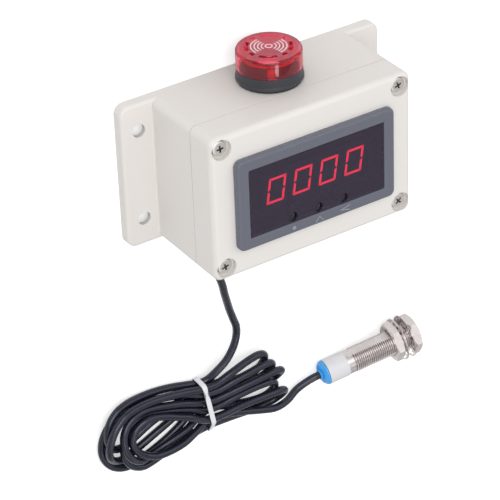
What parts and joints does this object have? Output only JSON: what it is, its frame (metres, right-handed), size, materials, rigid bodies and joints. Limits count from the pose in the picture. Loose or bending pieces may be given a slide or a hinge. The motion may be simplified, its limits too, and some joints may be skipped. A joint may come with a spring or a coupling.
{
  "type": "digital tachometer",
  "caption": "Wall-mounted digital tachometer: plastic enclosure with a red LED panel meter, keys, an alarm lamp and a threaded proximity sensor on a hanked cable.",
  "frame": {"origin": "middle of the enclosure's flat back, which lies on the table or against the wall", "axes": "+X to the right across the front, +Y up towards the alarm lamp, +Z out of the front"},
  "size_m": [0.1686, 0.2026, 0.0534],
  "materials": {
    "housing": "fine moulded light grey",
    "rubber": "matt black",
    "steel": "plated",
    "brass": "turned",
    "bezel": "blue grey, satin",
    "smoke": "smoked and clear",
    "shell": "black",
    "segment": "lit red",
    "circuit": "green board",
    "black": "satin black",
    "green": "satin",
    "lens": "translucent red",
    "cable": "soft black sheath",
    "white": "white",
    "blue": "light blue",
    "nickel": "nickel plated"
  },
  "bodies": {
    "housing": {"enclosure_base": "housing", "enclosure_cover": "housing", "cover_gasket": "rubber", "cover_screw_1": "steel", "cover_screw_2": "steel", "cover_screw_3": "steel", "cover_screw_4": "steel", "screw_insert_1": "brass", "screw_insert_2": "brass", "screw_insert_3": "brass", "screw_insert_4": "brass", "meter_bezel": "bezel", "meter_window": "smoke", "display_shell": "shell", "digit_filling_1": "segment", "digit_filling_2": "segment", "digit_filling_3": "segment", "digit_filling_4": "segment", "display_board": "circuit", "key_switch_1": "black", "key_switch_2": "black", "key_switch_3": "black", "rear_board": "circuit", "board_header": "black", "controller_chip": "black", "alarm_relay": "green", "supply_capacitor": "black", "terminal_block": "green", "meter_rear_lid": "bezel", "meter_clip_left": "bezel", "meter_clip_right": "bezel", "lamp_seal": "rubber", "lamp_base": "black", "lamp_lens": "lens", "lamp_core": "black", "lamp_board": "circuit", "lamp_light_1": "segment", "lamp_light_2": "segment", "lamp_light_3": "segment", "lamp_sounder": "black", "lamp_plug": "black", "lamp_nut": "black", "sensor_cap": "blue", "sensor_barrel": "nickel", "sensor_label": "white", "sensor_face": "blue", "sensor_board": "circuit", "sensor_chip": "black", "cable_grommet": "rubber", "cable_lead": "cable", "cable_hank": "cable", "cable_tail": "cable", "cable_tie": "white"},
    "key_1": {"key_plunger_1": "shell"},
    "key_2": {"key_plunger_2": "shell"},
    "key_3": {"key_plunger_3": "shell"},
    "rear_washer": {"sensor_washer_rear": "nickel"},
    "rear_nut": {"sensor_nut_rear": "nickel"},
    "front_washer": {"sensor_washer_front": "nickel"},
    "front_nut": {"sensor_nut_front": "nickel"}
  },
  "joints": [
    {"name": "key_1_press", "type": "slide", "parent": "housing", "child": "key_1", "axis": [0, 0, -1], "range_m": [0, 0.00025], "stiffness_N_per_m": 400, "springref_m": -0.0005},
    {"name": "key_2_press", "type": "slide", "parent": "housing", "child": "key_2", "axis": [0, 0, -1], "range_m": [0, 0.00025], "stiffness_N_per_m": 400, "springref_m": -0.0005},
    {"name": "key_3_press", "type": "slide", "parent": "housing", "child": "key_3", "axis": [0, 0, -1], "range_m": [0, 0.00025], "stiffness_N_per_m": 400, "springref_m": -0.0005},
    {"name": "rear_washer_travel", "type": "slide", "parent": "housing", "child": "rear_washer", "axis": [0.9841, 0.1383, 0.1113], "range_m": [-0.019, 0]},
    {"name": "rear_nut_turn", "type": "hinge", "parent": "rear_washer", "child": "rear_nut", "pos_m": [0.06887, -0.13332, 0.01005], "axis": [0.9841, 0.1383, 0.1113], "range_deg": [-6838, 0]},
    {"name": "front_washer_travel", "type": "slide", "parent": "housing", "child": "front_washer", "axis": [0.9841, 0.1383, 0.1113], "range_m": [-0.0029, 0.0009]},
    {"name": "front_nut_turn", "type": "hinge", "parent": "front_washer", "child": "front_nut", "pos_m": [0.07802, -0.13204, 0.01108], "axis": [0.9841, 0.1383, 0.1113], "range_deg": [-1043, 323]}
  ],
  "couplings": [
    {"joint": "rear_washer_travel", "follows": "rear_nut_turn", "m_per_rad": 0.00015915},
    {"joint": "front_washer_travel", "follows": "front_nut_turn", "m_per_rad": 0.00015915}
  ]
}
